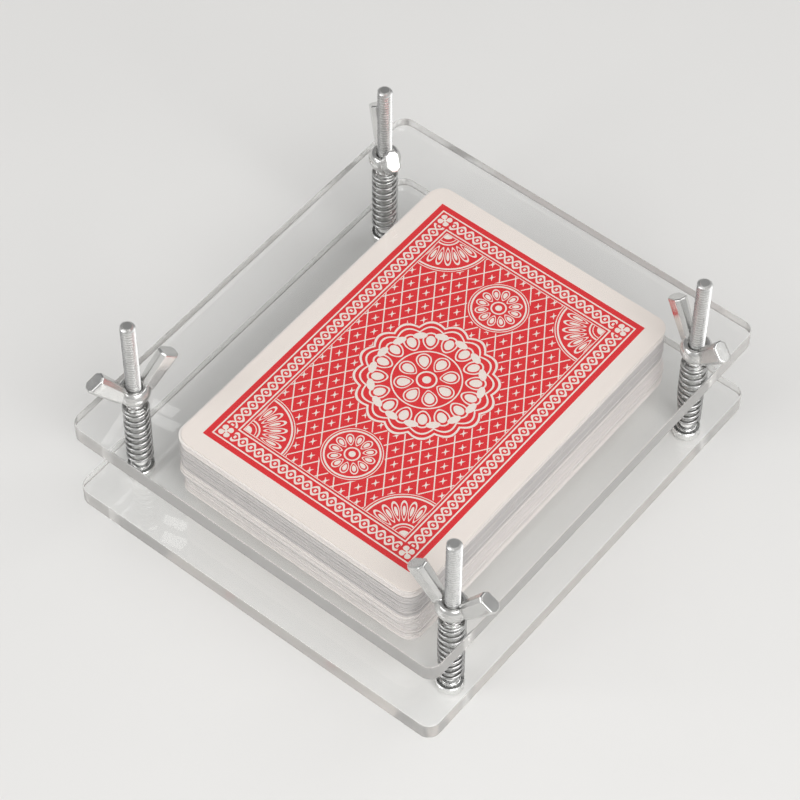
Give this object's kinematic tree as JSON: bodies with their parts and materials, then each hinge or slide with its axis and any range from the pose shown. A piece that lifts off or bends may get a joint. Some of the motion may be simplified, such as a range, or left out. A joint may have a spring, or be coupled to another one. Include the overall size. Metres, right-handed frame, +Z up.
{
  "type": "playing card press",
  "caption": "Playing card press: clear acrylic plates on sprung corner screws with wing nuts, clamping a deck of cards flat between them.",
  "frame": {"origin": "on the table under the middle of the plates, at the height of the screw heads' lower faces", "axes": "+Z up along the screws, +Y along the plates' long side towards the back, +X to the right across them"},
  "size_m": [0.104, 0.1108, 0.0532],
  "materials": {
    "acrylic": "clear, polished faces",
    "zinc": "bright zinc plating",
    "spring_steel": "bright drawn wire",
    "card": "cut edges of coated card",
    "card_back": "coated, printed red on white"
  },
  "bodies": {
    "base": {"lower_plate": "acrylic", "screw_front_left": "zinc", "screw_front_right": "zinc", "screw_back_right": "zinc", "screw_back_left": "zinc", "spring_front_left": "spring_steel", "spring_front_right": "spring_steel", "spring_back_right": "spring_steel", "spring_back_left": "spring_steel"},
    "pressure_plate": {"upper_plate": "acrylic"},
    "nut_front_left": {"wing_nut_front_left": "zinc"},
    "nut_front_right": {"wing_nut_front_right": "zinc"},
    "nut_back_right": {"wing_nut_back_right": "zinc"},
    "nut_back_left": {"wing_nut_back_left": "zinc"},
    "deck": {"bottom_card": "card", "lower_packet": "card", "middle_packet": "card", "upper_packet": "card", "top_card": "card_back"}
  },
  "joints": [
    {"name": "plate_lift", "type": "slide", "parent": "base", "child": "pressure_plate", "axis": [0, 0, 1], "range_m": [0, 0.015], "deforming": ["spring_front_left", "spring_front_right", "spring_back_right", "spring_back_left"]},
    {"name": "nut_front_right_turn", "type": "hinge", "parent": "pressure_plate", "child": "nut_front_right", "pos_m": [0.0423, -0.04155, 0.02938], "axis": [0, 0, 1], "range_deg": [0, 6808]},
    {"name": "nut_front_left_turn", "type": "hinge", "parent": "pressure_plate", "child": "nut_front_left", "pos_m": [-0.0423, -0.04155, 0.02938], "axis": [0, 0, 1], "range_deg": [0, 6808]},
    {"name": "nut_back_right_turn", "type": "hinge", "parent": "pressure_plate", "child": "nut_back_right", "pos_m": [0.0423, 0.04155, 0.02938], "axis": [0, 0, 1], "range_deg": [0, 6808]},
    {"name": "nut_back_left_turn", "type": "hinge", "parent": "pressure_plate", "child": "nut_back_left", "pos_m": [-0.0423, 0.04155, 0.02938], "axis": [0, 0, 1], "range_deg": [0, 6808]},
    {"name": "deck_slide", "type": "slide", "parent": "base", "child": "deck", "axis": [0, -1, 0], "range_m": [0, 0.105]}
  ],
  "couplings": [
    {"joint": "nut_front_left_turn", "follows": "plate_lift", "rad_per_m": 7915.8},
    {"joint": "nut_front_right_turn", "follows": "plate_lift", "rad_per_m": 7915.8},
    {"joint": "nut_back_right_turn", "follows": "plate_lift", "rad_per_m": 7915.8},
    {"joint": "nut_back_left_turn", "follows": "plate_lift", "rad_per_m": 7915.8}
  ]
}
